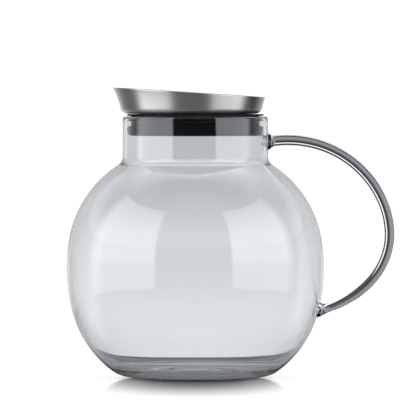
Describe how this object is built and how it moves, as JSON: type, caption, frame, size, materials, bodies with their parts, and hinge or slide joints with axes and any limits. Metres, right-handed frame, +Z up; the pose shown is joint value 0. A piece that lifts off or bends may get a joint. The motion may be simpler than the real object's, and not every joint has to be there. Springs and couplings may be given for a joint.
{
  "type": "pitcher with lid",
  "caption": "Round clear glass pitcher with a straight neck, a bent glass rod handle and a slanted steel pouring lid on a black silicone seal.",
  "frame": {"origin": "centre of the flat base, on its underside", "axes": "+Z up along the globe's axis, -X towards the lid's spout, +X towards the handle"},
  "size_m": [0.2039, 0.16, 0.1806],
  "materials": {
    "glass": "clear fire-polished borosilicate glass",
    "silicone": "satin black silicone",
    "brushed_steel": "fine brushed stainless steel",
    "polished_steel": "satin stainless steel sheet and wire"
  },
  "bodies": {
    "pitcher": {"glass_body": "glass", "glass_handle": "glass"},
    "seal": {"seal_ring": "silicone"},
    "lid": {"lid_bowl": "brushed_steel", "plug_skirt": "polished_steel", "strainer": "polished_steel", "strainer_ring": "polished_steel", "port_gasket": "silicone", "hinge_bracket": "polished_steel", "hinge_pin": "polished_steel"},
    "flap": {"pour_flap": "polished_steel"}
  },
  "joints": [
    {"name": "lid_lift", "type": "slide", "parent": "pitcher", "child": "seal", "axis": [0, 0, 1], "range_m": [0, 0.06]},
    {"name": "lid_turn", "type": "hinge", "parent": "seal", "child": "lid", "pos_m": [0, 0, 0.1642], "axis": [0, 0, 1], "continuous": true},
    {"name": "flap_tilt", "type": "hinge", "parent": "lid", "child": "flap", "pos_m": [0.0233, 0, 0.16745], "axis": [0, 1, 0], "range_deg": [0, 60]}
  ]
}
